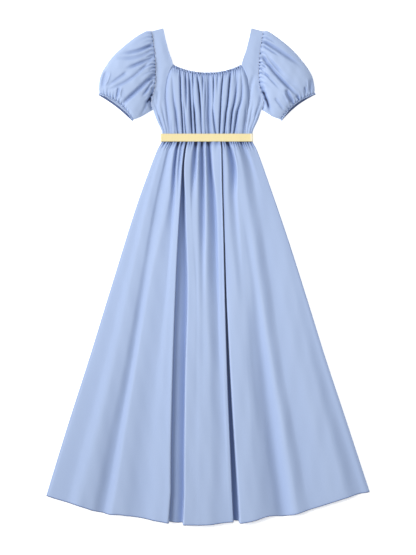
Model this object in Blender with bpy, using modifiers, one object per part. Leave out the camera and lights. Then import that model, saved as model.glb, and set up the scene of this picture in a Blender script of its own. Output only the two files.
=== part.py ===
"""A regency gown laid flat on its back, with puffed sleeves, a gathered bodice and a ribbon belt.

Tables and functions work in millimetres. x runs across the gown, "down" runs from the top of the
shoulders towards the hem, and a height is above the surface that the gown lies on. Each cloth piece is
an open surface, the underside of the cloth, and Solidify gives it its wall.
"""

import math
from collections import namedtuple

import bpy

MM = 0.001

# Driving sizes
GOWN_LENGTH = 1392.0
WALL = 1.2
SEAM_GAP = 0.3
WAIST_SEAM_DOWN = 305.0
RIBBON_WIDTH = 22.0
RIBBON_WALL = 1.0
CASING_WIDTH = 6.0
HEM_SAG = 92.0
HEM_POWER = 2.1

# Heights of the layers. The cloth rises over the back of the belt on a ramp each side of it.
FRONT_REST = WALL + SEAM_GAP
RIBBON_LIFT = RIBBON_WALL + SEAM_GAP
LIFT_HALF_WIDTH = 18.5
LIFT_RAMP = 28.0
PRESSED_GATHER = 4.0

Edge = namedtuple("Edge", "down x")

# Sections of a shoulder strap and of the bodice's side below it, each from the inner edge (neckline, then
# the centre panel's seam) to the outer edge (armhole, then the side seam)
SideSection = namedtuple("SideSection", "inner_down inner_x outer_down outer_x")
SIDE_SECTIONS = (
    SideSection(0.0, 123.3, 8.4, 155.4),
    SideSection(30.0, 116.8, 32.0, 151.5),
    SideSection(62.0, 108.8, 60.0, 147.0),
    SideSection(90.0, 99.6, 88.0, 144.6),
    SideSection(106.0, 95.5, 108.0, 143.6),
    SideSection(122.0, 104.0, 130.0, 143.4),
    SideSection(142.0, 112.0, 152.0, 144.4),
    SideSection(170.0, 116.0, 176.0, 148.2),
    SideSection(196.0, 116.4, 198.0, 154.6),
    SideSection(214.0, 114.6, 213.0, 157.0),
    SideSection(230.0, 112.6, 228.0, 151.5),
    SideSection(258.0, 109.4, 256.0, 141.0),
    SideSection(286.0, 106.6, 286.0, 127.0),
    SideSection(305.0, 105.4, 305.0, 125.5),
)
NECK_CORNER_ROW = 4
UNDERARM_ROW = 10
NECKLINE_DOWN = 125.0
NECKLINE_POWER = 2.2
BACK_NECK_DROP = 12.0
BACK_INSET = 1.5

# The skirt's half width along its side seam
SKIRT_SIDE = (
    Edge(305.0, 125.5),
    Edge(317.0, 126.5),
    Edge(341.0, 139.0),
    Edge(425.0, 169.4),
    Edge(593.0, 226.8),
    Edge(761.0, 280.0),
    Edge(929.0, 331.8),
    Edge(1097.0, 386.4),
    Edge(1300.0, 450.8),
)

# Fold lines of the skirt front, from one side seam to the other. A place is a share of the half width,
# and z is the height of the cloth's underside above its rest, both at four stations down the skirt.
SKIRT_STATIONS = (0.03, 0.12, 0.47, 1.0)
FoldLine = namedtuple("FoldLine", "name waist upper middle hem z_waist z_upper z_middle z_hem")
SKIRT_FOLDS = (
    FoldLine("side seam", -1.0, -1.0, -1.0, -1.0, 0, 0, 0, 0),
    FoldLine("side roll", -0.97, -0.975, -0.98, -0.982, 4, 5, 5, 5),
    FoldLine("edge trough", -0.92, -0.935, -0.955, -0.95, 3, 6, 6, 3),
    FoldLine("edge ridge", -0.86, -0.87, -0.85, -0.80, 9, 11, 12, 14),
    FoldLine("first trough", -0.80, -0.785, -0.725, -0.69, 1, 2, 4, 3),
    FoldLine("first ridge", -0.72, -0.69, -0.655, -0.61, 10, 12, 13, 16),
    FoldLine("second trough", -0.636, -0.58, -0.52, -0.48, 1, 4, 9, 10),
    FoldLine("second ridge", -0.57, -0.51, -0.43, -0.36, 10, 11, 14, 14),
    FoldLine("channel outer lip", -0.505, -0.455, -0.355, -0.262, 11, 13, 17, 18),
    FoldLine("channel outer foot", -0.488, -0.435, -0.335, -0.243, 0, 0, 0, 0),
    FoldLine("channel inner foot", -0.462, -0.39, -0.223, -0.152, 0, 0, 0, 0),
    FoldLine("channel inner lip", -0.448, -0.375, -0.217, -0.145, 11, 14, 17, 18),
    FoldLine("first short gather", -0.42, -0.345, -0.20, -0.135, 3, 12, 15, 16),
    FoldLine("crest", -0.39, -0.325, -0.19, -0.125, 9, 13, 15, 16),
    FoldLine("second short gather", -0.355, -0.305, -0.175, -0.11, 4, 12, 15, 15),
    FoldLine("crest", -0.315, -0.275, -0.155, -0.095, 10, 13, 14, 15),
    FoldLine("third trough", -0.267, -0.24, -0.135, -0.075, 1, 7, 13, 15),
    FoldLine("crest", -0.23, -0.20, -0.12, -0.06, 10, 12, 14, 18),
    FoldLine("third short gather", -0.19, -0.165, -0.105, -0.05, 4, 12, 14, 18),
    FoldLine("crest", -0.155, -0.14, -0.095, -0.035, 10, 12, 13, 17),
    FoldLine("fourth trough", -0.115, -0.10, -0.08, -0.02, 0, 2, 9, 15),
    FoldLine("crest", -0.07, -0.05, -0.045, 0.0, 10, 12, 13, 15),
    FoldLine("fourth short gather", -0.03, -0.02, -0.02, 0.015, 4, 11, 12, 14),
    FoldLine("crest", 0.0, 0.01, 0.0, 0.03, 9, 12, 12, 13),
    FoldLine("centre trough", 0.045, 0.055, 0.04, 0.07, 0, 1, 5, 10),
    FoldLine("crest", 0.10, 0.11, 0.09, 0.105, 11, 13, 14, 15),
    FoldLine("fifth short gather", 0.16, 0.15, 0.115, 0.12, 4, 12, 15, 15),
    FoldLine("crest", 0.22, 0.195, 0.145, 0.138, 9, 13, 15, 16),
    FoldLine("crease left lip", 0.28, 0.237, 0.171, 0.161, 11, 15, 18, 18),
    FoldLine("crease left foot", 0.296, 0.248, 0.177, 0.167, 0, 0, 0, 0),
    FoldLine("crease right foot", 0.322, 0.268, 0.195, 0.204, 0, 0, 0, 0),
    FoldLine("crease right lip", 0.338, 0.278, 0.200, 0.209, 11, 13, 16, 16),
    FoldLine("crest", 0.365, 0.30, 0.235, 0.24, 9, 12, 15, 15),
    FoldLine("sixth short gather", 0.40, 0.33, 0.27, 0.27, 4, 12, 14, 14),
    FoldLine("crest", 0.445, 0.375, 0.35, 0.33, 10, 12, 13, 12),
    FoldLine("fifth trough", 0.49, 0.42, 0.44, 0.385, 1, 4, 6, 2),
    FoldLine("third ridge", 0.545, 0.50, 0.535, 0.50, 10, 12, 16, 18),
    FoldLine("seventh short gather", 0.60, 0.58, 0.58, 0.53, 4, 11, 13, 14),
    FoldLine("crest", 0.655, 0.64, 0.605, 0.555, 10, 11, 11, 12),
    FoldLine("sixth trough", 0.72, 0.70, 0.64, 0.60, 1, 2, 6, 9),
    FoldLine("fourth ridge", 0.79, 0.78, 0.74, 0.69, 10, 12, 13, 12),
    FoldLine("eighth short gather", 0.86, 0.86, 0.82, 0.77, 4, 10, 13, 13),
    FoldLine("edge ridge", 0.90, 0.90, 0.86, 0.83, 7, 9, 12, 14),
    FoldLine("edge trough", 0.935, 0.935, 0.925, 0.925, 4, 6, 5, 3),
    FoldLine("side roll", 0.97, 0.975, 0.975, 0.98, 4, 5, 5, 5),
    FoldLine("side seam", 1.0, 1.0, 1.0, 1.0, 0, 0, 0, 0),
)
SKIRT_ROWS = (0.0, 0.012, 0.03, 0.06, 0.10, 0.16, 0.24, 0.34, 0.47, 0.60, 0.74, 0.87, 1.0)
BACK_ROWS = (0.0, 0.012, 0.03, 0.06, 0.2, 0.4, 0.6, 0.8, 1.0)
HEM_DIP = 0.45
HIGHEST_FOLD = 18.0
WAIST_CREST = 12.0

# Gathers of the bodice's centre panel, as shares of its half width at the neck, the bust and the waist.
# Each row is the bottom of a gather, and a crest stands midway between two rows.
BODICE_STATIONS = (0.0, 0.5, 1.0)
Gather = namedtuple("Gather", "neck bust waist depth")
BODICE_GATHERS = (
    Gather(-0.78, -0.80, -0.85, 5.0),
    Gather(-0.60, -0.65, -0.71, 6.0),
    Gather(-0.49, -0.49, -0.54, 6.5),
    Gather(-0.35, -0.36, -0.38, 8.5),
    Gather(-0.21, -0.22, -0.25, 8.0),
    Gather(-0.08, -0.10, -0.12, 6.5),
    Gather(0.06, 0.06, 0.07, 8.0),
    Gather(0.21, 0.19, 0.19, 6.0),
    Gather(0.38, 0.33, 0.31, 8.5),
    Gather(0.53, 0.45, 0.45, 7.0),
    Gather(0.69, 0.60, 0.60, 8.0),
    Gather(0.86, 0.79, 0.81, 5.5),
)
BODICE_CREST = 9.0
BODICE_SEAM_HEIGHT = 4.0
SEAM_LEVEL = 0.985
NECK_PRESS = 0.45

# The neck casing across its width, as (share of the width, height), and the ripple along it
CASING_PROFILE = ((0.0, 0.6), (0.5, 1.5), (0.93, 1.2))
CASING_COLUMNS = 44
CASING_RUCHE = 0.8
RUCHE_STEP = 2.1

# Soft gathers of the side panels above the waist, as shares from the inner to the outer edge
SIDE_GATHERS = (0.32, 0.70)
SIDE_COLUMNS = 10
SIDE_SWELL = 2.5

# The sleeve in plan, as one seen from above. Its four edges are the armhole, the cuff, the upper fold
# and the fold under the arm.
UPPER_FOLD = (
    Edge(8.4, 155.4),
    Edge(8.0, 168.0),
    Edge(17.0, 184.0),
    Edge(33.6, 209.4),
    Edge(69.2, 254.0),
    Edge(116.2, 287.6),
    Edge(151.8, 303.6),
    Edge(181.0, 306.3),
)
UNDERARM_FOLD = (Edge(228.0, 151.5), Edge(243.0, 171.0), Edge(253.5, 190.0), Edge(258.5, 209.0))
CUFF_SAG = 5.0
ARMHOLE_GAP = 0.5
SLEEVE_EDGE = 4.4
SLEEVE_TOP_POINTS = 36
SLEEVE_UNDER_POINTS = 9
SLEEVE_GATHERS = 12
CUFF_WIDTH = 6.0
CUFF_REVEAL = 3.5
CUFF_HEIGHT = 11.0
CUFF_RUCHE = 0.4
CUFF_TOP_POINTS = 24
CUFF_UNDER_POINTS = 8
SleeveStation = namedtuple("SleeveStation", "along crown gathers")
SLEEVE_STATIONS = (
    SleeveStation(0.0, 6.0, 1.6),
    SleeveStation(0.06, 11.0, 2.2),
    SleeveStation(0.14, 16.5, 1.6),
    SleeveStation(0.25, 21.5, 0.5),
    SleeveStation(0.38, 25.0, 0.0),
    SleeveStation(0.52, 26.5, 0.0),
    SleeveStation(0.65, 25.5, 0.0),
    SleeveStation(0.77, 22.0, 0.6),
    SleeveStation(0.87, 17.5, 1.6),
    SleeveStation(0.95, 12.5, 2.0),
    SleeveStation(1.0, 8.8, 1.2),
)

# Long folds of the sleeves, each a soft trough from a place near the armhole to one near the cuff, on a
# line that bows sideways by its bend
SleeveFold = namedtuple("SleeveFold", "x down end_x end_down bend width depth")
LEFT_SLEEVE_FOLDS = (
    SleeveFold(150.0, 41.0, 204.0, 65.0, 4.0, 9.0, 4.5),
    SleeveFold(146.0, 76.0, 236.0, 84.0, 10.0, 10.0, 4.5),
    SleeveFold(145.0, 96.0, 210.0, 128.0, 3.0, 8.0, 5.0),
    SleeveFold(144.0, 121.0, 232.0, 210.0, -10.0, 8.0, 8.0),
    SleeveFold(144.0, 150.0, 208.0, 224.0, -3.0, 8.0, 5.5),
    SleeveFold(296.0, 150.0, 300.0, 178.0, 0.0, 6.0, 5.0),
    SleeveFold(272.0, 165.0, 262.0, 200.0, 2.0, 6.0, 5.0),
    SleeveFold(250.0, 190.0, 240.0, 222.0, 0.0, 5.0, 4.0),
)
RIGHT_SLEEVE_FOLDS = (
    SleeveFold(154.0, 29.0, 215.0, 66.0, 3.0, 9.0, 4.0),
    SleeveFold(152.0, 62.0, 240.0, 122.0, 3.0, 8.0, 7.0),
    SleeveFold(146.0, 91.0, 220.0, 168.0, -6.0, 8.0, 5.5),
    SleeveFold(144.0, 121.0, 232.0, 193.0, 8.0, 8.0, 6.5),
    SleeveFold(142.0, 146.0, 210.0, 231.0, -2.0, 8.0, 5.5),
    SleeveFold(286.0, 148.0, 288.0, 184.0, 2.0, 6.0, 5.0),
    SleeveFold(256.0, 170.0, 268.0, 202.0, 0.0, 6.0, 5.0),
    SleeveFold(240.0, 192.0, 246.0, 218.0, 0.0, 5.0, 4.0),
)

# The ribbon belt
BELT_TOP_DOWN = 293.5
BELT_HALF_LENGTH = 130.0
BELT_END_RADIUS = 3.6
BELT_LAP_WIDTH = 6.5
BELT_LAP_INSET = 3.8

CLOTH_BLUE = (0.45, 0.56, 0.80, 1.0)
RIBBON_YELLOW = (0.92, 0.78, 0.42, 1.0)


def eased(t):
    """0 to 1 with a level start and end."""
    t = min(1.0, max(0.0, t))
    return t * t * (3.0 - 2.0 * t)


def through(stations, values, t):
    """The value at t on a smooth curve through the stations' values."""
    t = min(stations[-1], max(stations[0], t))
    last = len(stations) - 2
    i = next((k for k in range(last + 1) if t <= stations[k + 1]), last)

    def slope(k):
        before, after = max(0, k - 1), min(len(stations) - 1, k + 1)
        return (values[after] - values[before]) / (stations[after] - stations[before])

    step = stations[i + 1] - stations[i]
    s = (t - stations[i]) / step
    start = (1 + 2 * s) * (1 - s) ** 2 * values[i] + s * (1 - s) ** 2 * step * slope(i)
    end = s * s * (3 - 2 * s) * values[i + 1] - s * s * (1 - s) * step * slope(i + 1)
    return start + end


def along_edge(edges, share):
    """The point at a share of an edge's length, as (x, down)."""
    lengths = [0.0]
    for a, b in zip(edges, edges[1:]):
        lengths.append(lengths[-1] + math.hypot(b.x - a.x, b.down - a.down))
    at = share * lengths[-1]
    return through(lengths, [e.x for e in edges], at), through(lengths, [e.down for e in edges], at)


def point(x, down, height):
    """A point of the gown in metres, with the origin under the middle of its outline."""
    return (x * MM, (GOWN_LENGTH / 2 - down) * MM, height * MM)


def cloth_material(name, colour, roughness):
    material = bpy.data.materials.new(name)
    material.use_nodes = True
    shader = material.node_tree.nodes["Principled BSDF"]
    shader.inputs["Base Color"].default_value = colour
    shader.inputs["Roughness"].default_value = roughness
    shader.inputs["Metallic"].default_value = 0.0
    return material


def cloth_piece(name, rows, material, wall=WALL, around=False, turned=False, outwards=1.0):
    """A cloth wall on a surface through rows of points, which close on themselves where around is set."""
    width = len(rows[0])
    points = [point(*p) for row in rows for p in row]
    columns = range(width if around else width - 1)
    faces = []
    for i in range(len(rows) - 1):
        for j in columns:
            right = (j + 1) % width
            face = (i * width + j, (i + 1) * width + j, (i + 1) * width + right, i * width + right)
            faces.append(face[::-1] if turned else face)
    mesh = bpy.data.meshes.new(name)
    mesh.from_pydata(points, [], faces)
    mesh.materials.append(material)
    mesh.shade_smooth()
    piece = bpy.data.objects.new(name, mesh)
    collection.objects.link(piece)
    thickness = piece.modifiers.new("wall", "SOLIDIFY")
    thickness.thickness = wall * MM
    thickness.offset = outwards
    return piece


def ribbon_lift(down):
    """How far the cloth is raised where the back of the belt passes under it."""
    away = abs(down - BELT_TOP_DOWN - RIBBON_WIDTH / 2) - LIFT_HALF_WIDTH
    return RIBBON_LIFT * (1.0 - min(1.0, max(0.0, away / LIFT_RAMP)))


def pressed(height, down):
    """The height of a gather of the bodice, which the belt presses down."""
    return height * (1.0 - (1.0 - PRESSED_GATHER / BODICE_CREST) * eased((down - 250.0) / 36.0))


def hem_down(share):
    return GOWN_LENGTH - HEM_SAG * abs(share) ** HEM_POWER


def skirt_half_width(v):
    side_down = WAIST_SEAM_DOWN + v * (SKIRT_SIDE[-1].down - WAIST_SEAM_DOWN)
    return through([e.down for e in SKIRT_SIDE], [e.x for e in SKIRT_SIDE], side_down)


def skirt_section(v):
    """One row of the skirt front, from seam to seam, at a share of the way down to the hem."""
    press = PRESSED_GATHER / WAIST_CREST
    rise = press + (1.0 - press) * eased((v - 0.008) / 0.02)
    half_width = skirt_half_width(v)
    keys = [
        (through(SKIRT_STATIONS, fold[1:5], v), rise * through(SKIRT_STATIONS, fold[5:9], v))
        for fold in SKIRT_FOLDS
    ]
    row = []
    for (share, height), (next_share, next_height) in zip(keys, keys[1:]):
        row += [(share, height), ((share + next_share) / 2, (height + next_height) / 2)]
    row.append(keys[-1])
    section = []
    for share, height in row:
        height = max(0.0, height)
        down = WAIST_SEAM_DOWN + SEAM_GAP / 2 + v * (hem_down(share) - WAIST_SEAM_DOWN)
        down -= HEM_DIP * (HIGHEST_FOLD - height) * v ** 3
        section.append((share * half_width, down, FRONT_REST + ribbon_lift(down) + height))
    return section


def skirt_front(material):
    return cloth_piece("skirt_front", [skirt_section(v) for v in SKIRT_ROWS], material)


def skirt_back(material):
    """The back of the skirt, flat on the surface but for its rise over the back of the belt."""
    columns = 16
    rows = []
    for v in BACK_ROWS:
        half_width = skirt_half_width(v) - 1.0
        row = []
        for j in range(columns + 1):
            share = -1.0 + 2.0 * j / columns
            hem = hem_down(share) - HEM_DIP * HIGHEST_FOLD - 3.0
            down = WAIST_SEAM_DOWN + SEAM_GAP / 2 + v * (hem - WAIST_SEAM_DOWN)
            row.append((share * half_width, down, ribbon_lift(down)))
        rows.append(row)
    return cloth_piece("skirt_back", rows, material)


def side_section(row):
    """The ends of the bodice's side section at a row of the table or between two, as (x, down) each."""
    above = min(int(row), len(SIDE_SECTIONS) - 2)
    a, b, share = SIDE_SECTIONS[above], SIDE_SECTIONS[above + 1], row - above
    inner_x = a.inner_x + share * (b.inner_x - a.inner_x)
    inner_down = a.inner_down + share * (b.inner_down - a.inner_down)
    rows = range(len(SIDE_SECTIONS))
    outer_x = through(rows, [section.outer_x for section in SIDE_SECTIONS], row)
    outer_down = through(rows, [section.outer_down for section in SIDE_SECTIONS], row)
    return (inner_x, inner_down), (outer_x, outer_down)


def neck_down(share):
    """How far down the front neckline is, at a share of the way from its middle to a corner."""
    corner = SIDE_SECTIONS[NECK_CORNER_ROW].inner_down
    return NECKLINE_DOWN - (NECKLINE_DOWN - corner) * abs(share) ** NECKLINE_POWER


def bodice_keys(v):
    """Shares and heights of the centre panel's gathers and crests at a share of the way down."""
    press = 1.0 - (1.0 - NECK_PRESS) * (1.0 - eased(v / 0.16))
    places = [through(BODICE_STATIONS, gather[0:3], v) for gather in BODICE_GATHERS]
    keys = [(-1.0, BODICE_SEAM_HEIGHT * press), (-SEAM_LEVEL, BODICE_SEAM_HEIGHT * press)]
    edges = [-1.0] + places + [1.0]
    for i, (place, gather) in enumerate(zip(places, BODICE_GATHERS)):
        keys.append(((edges[i] + place) / 2, BODICE_CREST * press))
        keys.append((place, (BODICE_CREST - gather.depth) * press))
    keys.append(((places[-1] + 1.0) / 2, BODICE_CREST * press))
    keys += [(SEAM_LEVEL, BODICE_SEAM_HEIGHT * press), (1.0, BODICE_SEAM_HEIGHT * press)]
    return keys


def centre_rows(neck_drop):
    """Places among the side sections that the centre panel spans, each with its share of the way down."""
    corner, below = SIDE_SECTIONS[NECK_CORNER_ROW], SIDE_SECTIONS[NECK_CORNER_ROW + 1]
    first = NECK_CORNER_ROW + neck_drop / (below.inner_down - corner.inner_down)
    last = len(SIDE_SECTIONS) - 1
    return [(row, (row - first) / (last - first)) for row in (first, *range(NECK_CORNER_ROW + 1, last + 1))]


def centre_section(row, v, columns):
    """A row of the centre panel from seam to seam, from its columns' places and heights."""
    (half_width, edge_down), _ = side_section(row)
    section = []
    for share, height in columns:
        sag = neck_down(share) - SIDE_SECTIONS[NECK_CORNER_ROW].inner_down
        down = min(edge_down + sag * (1.0 - v), WAIST_SEAM_DOWN - SEAM_GAP / 2)
        section.append((share * (half_width - SEAM_GAP), down, ribbon_lift(down) + pressed(height, down)))
    return section


def bodice_front(material):
    rows = []
    for section_row, v in centre_rows(CASING_WIDTH + SEAM_GAP):
        keys = bodice_keys(v)
        columns = []
        for (share, height), (next_share, next_height) in zip(keys, keys[1:]):
            columns += [(share, height), ((share + next_share) / 2, (height + next_height) / 2)]
        columns.append(keys[-1])
        section = centre_section(section_row, v, columns)
        rows.append([(x, down, FRONT_REST + z) for x, down, z in section])
    return cloth_piece("bodice_front", rows, material)


def bodice_back(material):
    """The back panel between the two side backs, plain, its neckline hidden below the front one."""
    columns = [(-1.0 + j / 6, 0.0) for j in range(13)]
    rows = [centre_section(row, v, columns) for row, v in centre_rows(BACK_NECK_DROP)]
    return cloth_piece("bodice_back", rows, material)


def side_front(name, side, material):
    """A shoulder strap and the side of the bodice below it, in one length of cloth."""
    rows = []
    for k in range(2 * len(SIDE_SECTIONS) - 1):
        (inner_x, inner_down), (outer_x, outer_down) = side_section(k / 2)
        strap = eased(inner_down / 60.0)
        low = eased((inner_down - 190.0) / 70.0)
        row = []
        for j in range(SIDE_COLUMNS + 1):
            share = j / SIDE_COLUMNS
            x = inner_x + share * (outer_x - inner_x)
            down = min(inner_down + share * (outer_down - inner_down), WAIST_SEAM_DOWN - SEAM_GAP / 2)
            waves = sum(math.exp(-(((share - place) / 0.09) ** 2)) for place in SIDE_GATHERS)
            height = strap * (BODICE_SEAM_HEIGHT + SIDE_SWELL * math.sin(math.pi * share) ** 2)
            height += low * (1.5 - 4.5 * waves)
            height *= 1.0 - low * eased(share * 5.0 - 4.0)
            row.append((side * x, down, FRONT_REST + ribbon_lift(down) + pressed(max(0.0, height), down)))
        rows.append(row)
    return cloth_piece(name, rows, material, turned=side < 0)


def side_back(name, side, material):
    """The back of a shoulder strap and of the bodice's side, flat and just inside the front's outline."""
    rows = []
    for k in range(2 * len(SIDE_SECTIONS) - 1):
        (inner_x, inner_down), (outer_x, outer_down) = side_section(k / 2)
        inner_x += BACK_INSET if k / 2 < NECK_CORNER_ROW else 0.0
        row = []
        for share in (0.0, 0.33, 0.67, 1.0):
            x = inner_x + share * (outer_x - SEAM_GAP - inner_x)
            down = min(inner_down + share * (outer_down - inner_down), WAIST_SEAM_DOWN - SEAM_GAP / 2)
            row.append((side * x, down, ribbon_lift(down)))
        rows.append(row)
    return cloth_piece(name, rows, material, turned=side < 0)


def neck_casing(material):
    """The narrow drawstring casing along the front neckline."""
    half_width = SIDE_SECTIONS[NECK_CORNER_ROW].inner_x - 1.0
    rows = [[] for _ in CASING_PROFILE]
    for j in range(CASING_COLUMNS + 1):
        share = -1.0 + 2.0 * j / CASING_COLUMNS
        ruche = CASING_RUCHE * math.sin(RUCHE_STEP * j)
        for row, (across, height) in zip(rows, CASING_PROFILE):
            down = neck_down(share) + across * CASING_WIDTH
            row.append((share * half_width, down, FRONT_REST + height + ruche))
    return cloth_piece("neck_casing", rows, material, wall=2 * WALL)


def cuff_frame():
    """The cuff's outer end, its run to the end under the arm, and the way that the arm leaves it."""
    start, end = UPPER_FOLD[-1], UNDERARM_FOLD[-1]
    run_x, run_down = end.x - start.x, end.down - start.down
    length = math.hypot(run_x, run_down)
    return start, (run_x, run_down), (run_down / length, -run_x / length)


def cuff_line(v, beyond=0.0):
    """The sleeve's edge at a share of the way along the cuff, or a line beyond it, as (x, down)."""
    start, (run_x, run_down), (out_x, out_down) = cuff_frame()
    out = beyond - CUFF_SAG * math.sin(math.pi * v)
    return start.x + v * run_x + out * out_x, start.down + v * run_down + out * out_down


def sleeve_plan(u, v):
    """The place of the sleeve at a share u from armhole to cuff and v from upper to lower fold."""
    corners = (UPPER_FOLD[0], UPPER_FOLD[-1], UNDERARM_FOLD[0], UNDERARM_FOLD[-1])
    upper, under = along_edge(UPPER_FOLD, u), along_edge(UNDERARM_FOLD, u)
    _, inner = side_section(v * UNDERARM_ROW)
    outer = cuff_line(v)
    place = []
    for k, name in enumerate(("x", "down")):
        a, b, c, d = (getattr(corner, name) for corner in corners)
        flat = (1 - u) * ((1 - v) * a + v * c) + u * ((1 - v) * b + v * d)
        place.append((1 - v) * upper[k] + v * under[k] + (1 - u) * inner[k] + u * outer[k] - flat)
    return place[0] + ARMHOLE_GAP * (1 - u), place[1]


def fold_depth(folds, x, down):
    """How deep the sleeve's long folds are at a place."""
    depth = 0.0
    for fold in folds:
        run_x, run_down = fold.end_x - fold.x, fold.end_down - fold.down
        length = math.hypot(run_x, run_down)
        along = ((x - fold.x) * run_x + (down - fold.down) * run_down) / length ** 2
        beside = ((down - fold.down) * run_x - (x - fold.x) * run_down) / length
        off = beside - 4.0 * fold.bend * along * (1.0 - along)
        ends = eased((along + 0.12) / 0.25) * eased((1.1 - along) / 0.45)
        depth += fold.depth * ends * math.exp(-((off / fold.width) ** 2))
    return depth


def sleeve_ring(station, folds):
    """One closed ring of the sleeve's outside: over the top from fold to fold, and back underneath."""
    u = station.along
    ring = []
    armpit = eased((0.16 - u) / 0.16)
    _, _, (out_x, out_down) = cuff_frame()
    for k in range(SLEEVE_TOP_POINTS + 1):
        turn = k / SLEEVE_TOP_POINTS
        v = 0.6 * turn + 0.4 * (1 - math.cos(math.pi * turn)) / 2
        x, down = sleeve_plan(u, v)
        dome = math.sin(math.pi * v) ** 0.6 if 0 < k < SLEEVE_TOP_POINTS else 0.0
        low = 1.0 - armpit * eased((v - 0.80) / 0.12) * 0.75
        gathers = station.gathers * math.cos(2 * math.pi * SLEEVE_GATHERS * turn) * dome
        gathered_in = 0.35 + 0.65 * eased((1.0 - u) / 0.12) * eased((u + 0.04) / 0.12)
        height = low * station.crown * dome + gathers - dome * gathered_in * fold_depth(folds, x, down)
        ring.append((x, down, SLEEVE_EDGE / 2 + max(height, 1.2 * dome)))
    for k in range(1, SLEEVE_UNDER_POINTS + 1):
        turn = 1.0 - k / (SLEEVE_UNDER_POINTS + 1)
        v = 0.5 * turn + 0.5 * (1 - math.cos(math.pi * turn)) / 2
        x, down = sleeve_plan(u, v)
        reveal = CUFF_REVEAL * eased((u - 0.6) / 0.4) * math.sin(math.pi * v)
        ring.append((x + reveal * out_x + ARMHOLE_GAP * (1 - u), down + reveal * out_down, 0.0))
    return ring


def sleeve(name, side, folds, material):
    rings = [sleeve_ring(station, folds) for station in SLEEVE_STATIONS]
    rows = [[(side * x, down, z) for x, down, z in ring] for ring in rings]
    return cloth_piece(name, rows, material, around=True, turned=side > 0, outwards=-1.0)


def cuff(name, side, material):
    """The narrow binding that holds the sleeve's gathers, an open flattened ring."""
    rows = []
    for distance in (SEAM_GAP, CUFF_WIDTH / 2, CUFF_WIDTH):
        ring = []
        for k in range(CUFF_TOP_POINTS + CUFF_UNDER_POINTS):
            over = k <= CUFF_TOP_POINTS
            v = k / CUFF_TOP_POINTS if over else 1.0 - (k - CUFF_TOP_POINTS) / CUFF_UNDER_POINTS
            across = math.sin(math.pi * v)
            x, down = cuff_line(v, distance + (0.0 if over else CUFF_REVEAL * across))
            height = SLEEVE_EDGE / 2 + (CUFF_HEIGHT - SLEEVE_EDGE / 2) * across ** 0.5
            height += CUFF_RUCHE * math.sin(RUCHE_STEP * k) * across
            ring.append((side * x, down, height if over else 0.0))
        rows.append(ring)
    return cloth_piece(name, rows, material, around=True, turned=side > 0, outwards=-1.0)


def belt_front_height():
    return FRONT_REST + RIBBON_LIFT + PRESSED_GATHER + WALL + SEAM_GAP + RIBBON_WALL + 0.4


def belt(material):
    """The ribbon, all round the waist, flat under it and over it, with rounded bends at the sides."""
    top, radius = belt_front_height(), BELT_END_RADIUS
    ring = []
    bend = BELT_HALF_LENGTH - radius
    for side in (1, -1):
        flat = [side * bend * (1 - 2 * k / 6) for k in range(1, 6)]
        low_first = side > 0
        for k in range(9):
            angle = math.pi / 2 * (k / 4 - 1)
            height = (top / 2) * (1 + math.sin(angle))
            x = side * (bend + radius * math.cos(angle))
            ring.append((x, height if low_first else top - height))
        ring += [(x, top if low_first else 0.0) for x in flat]
    rows = [[(x, down, z) for x, z in ring] for down in (BELT_TOP_DOWN, BELT_TOP_DOWN + RIBBON_WIDTH)]
    return cloth_piece("belt", rows, material, wall=RIBBON_WALL, around=True, turned=True, outwards=-1.0)


def belt_lap(material):
    """The ribbon's end, turned under and sewn down near the side seam."""
    outer = BELT_HALF_LENGTH - BELT_LAP_INSET
    height = belt_front_height() + SEAM_GAP
    rows = [
        [(outer - BELT_LAP_WIDTH * (1 - share), down, height) for share in (0.0, 0.5, 1.0)]
        for down in (BELT_TOP_DOWN, BELT_TOP_DOWN + RIBBON_WIDTH)
    ]
    return cloth_piece("belt_lap", rows, material, wall=RIBBON_WALL)


def main():
    blue = cloth_material("cloth", CLOTH_BLUE, 0.75)
    yellow = cloth_material("ribbon", RIBBON_YELLOW, 0.45)
    skirt_back(blue)
    skirt_front(blue)
    bodice_back(blue)
    bodice_front(blue)
    neck_casing(blue)
    for side, word, folds in ((-1, "left", LEFT_SLEEVE_FOLDS), (1, "right", RIGHT_SLEEVE_FOLDS)):
        side_front(f"side_front_{word}", side, blue)
        side_back(f"side_back_{word}", side, blue)
        sleeve(f"sleeve_{word}", side, folds, blue)
        cuff(f"cuff_{word}", side, blue)
    belt(yellow)
    belt_lap(yellow)


for old in list(bpy.data.objects):
    bpy.data.objects.remove(old)
collection = bpy.data.collections.new("regency_gown")
bpy.context.scene.collection.children.link(collection)
main()
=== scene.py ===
# A regency gown laid flat on its back: fine cloth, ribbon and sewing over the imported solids
import math

import bpy
import numpy as np
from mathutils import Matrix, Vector


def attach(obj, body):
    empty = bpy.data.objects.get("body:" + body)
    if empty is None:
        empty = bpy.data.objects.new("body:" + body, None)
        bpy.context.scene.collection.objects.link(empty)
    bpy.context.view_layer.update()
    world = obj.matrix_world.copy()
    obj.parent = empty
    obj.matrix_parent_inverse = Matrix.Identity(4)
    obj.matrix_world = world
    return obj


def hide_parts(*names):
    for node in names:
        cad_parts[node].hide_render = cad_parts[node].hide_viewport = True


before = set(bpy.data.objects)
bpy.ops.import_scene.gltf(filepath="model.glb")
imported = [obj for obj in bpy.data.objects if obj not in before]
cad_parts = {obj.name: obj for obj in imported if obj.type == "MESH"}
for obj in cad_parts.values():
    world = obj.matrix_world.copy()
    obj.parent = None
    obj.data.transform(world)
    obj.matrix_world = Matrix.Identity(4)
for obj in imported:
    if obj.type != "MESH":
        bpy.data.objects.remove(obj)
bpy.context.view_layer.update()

print("frame loaded, nodes:", len(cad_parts))

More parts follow.
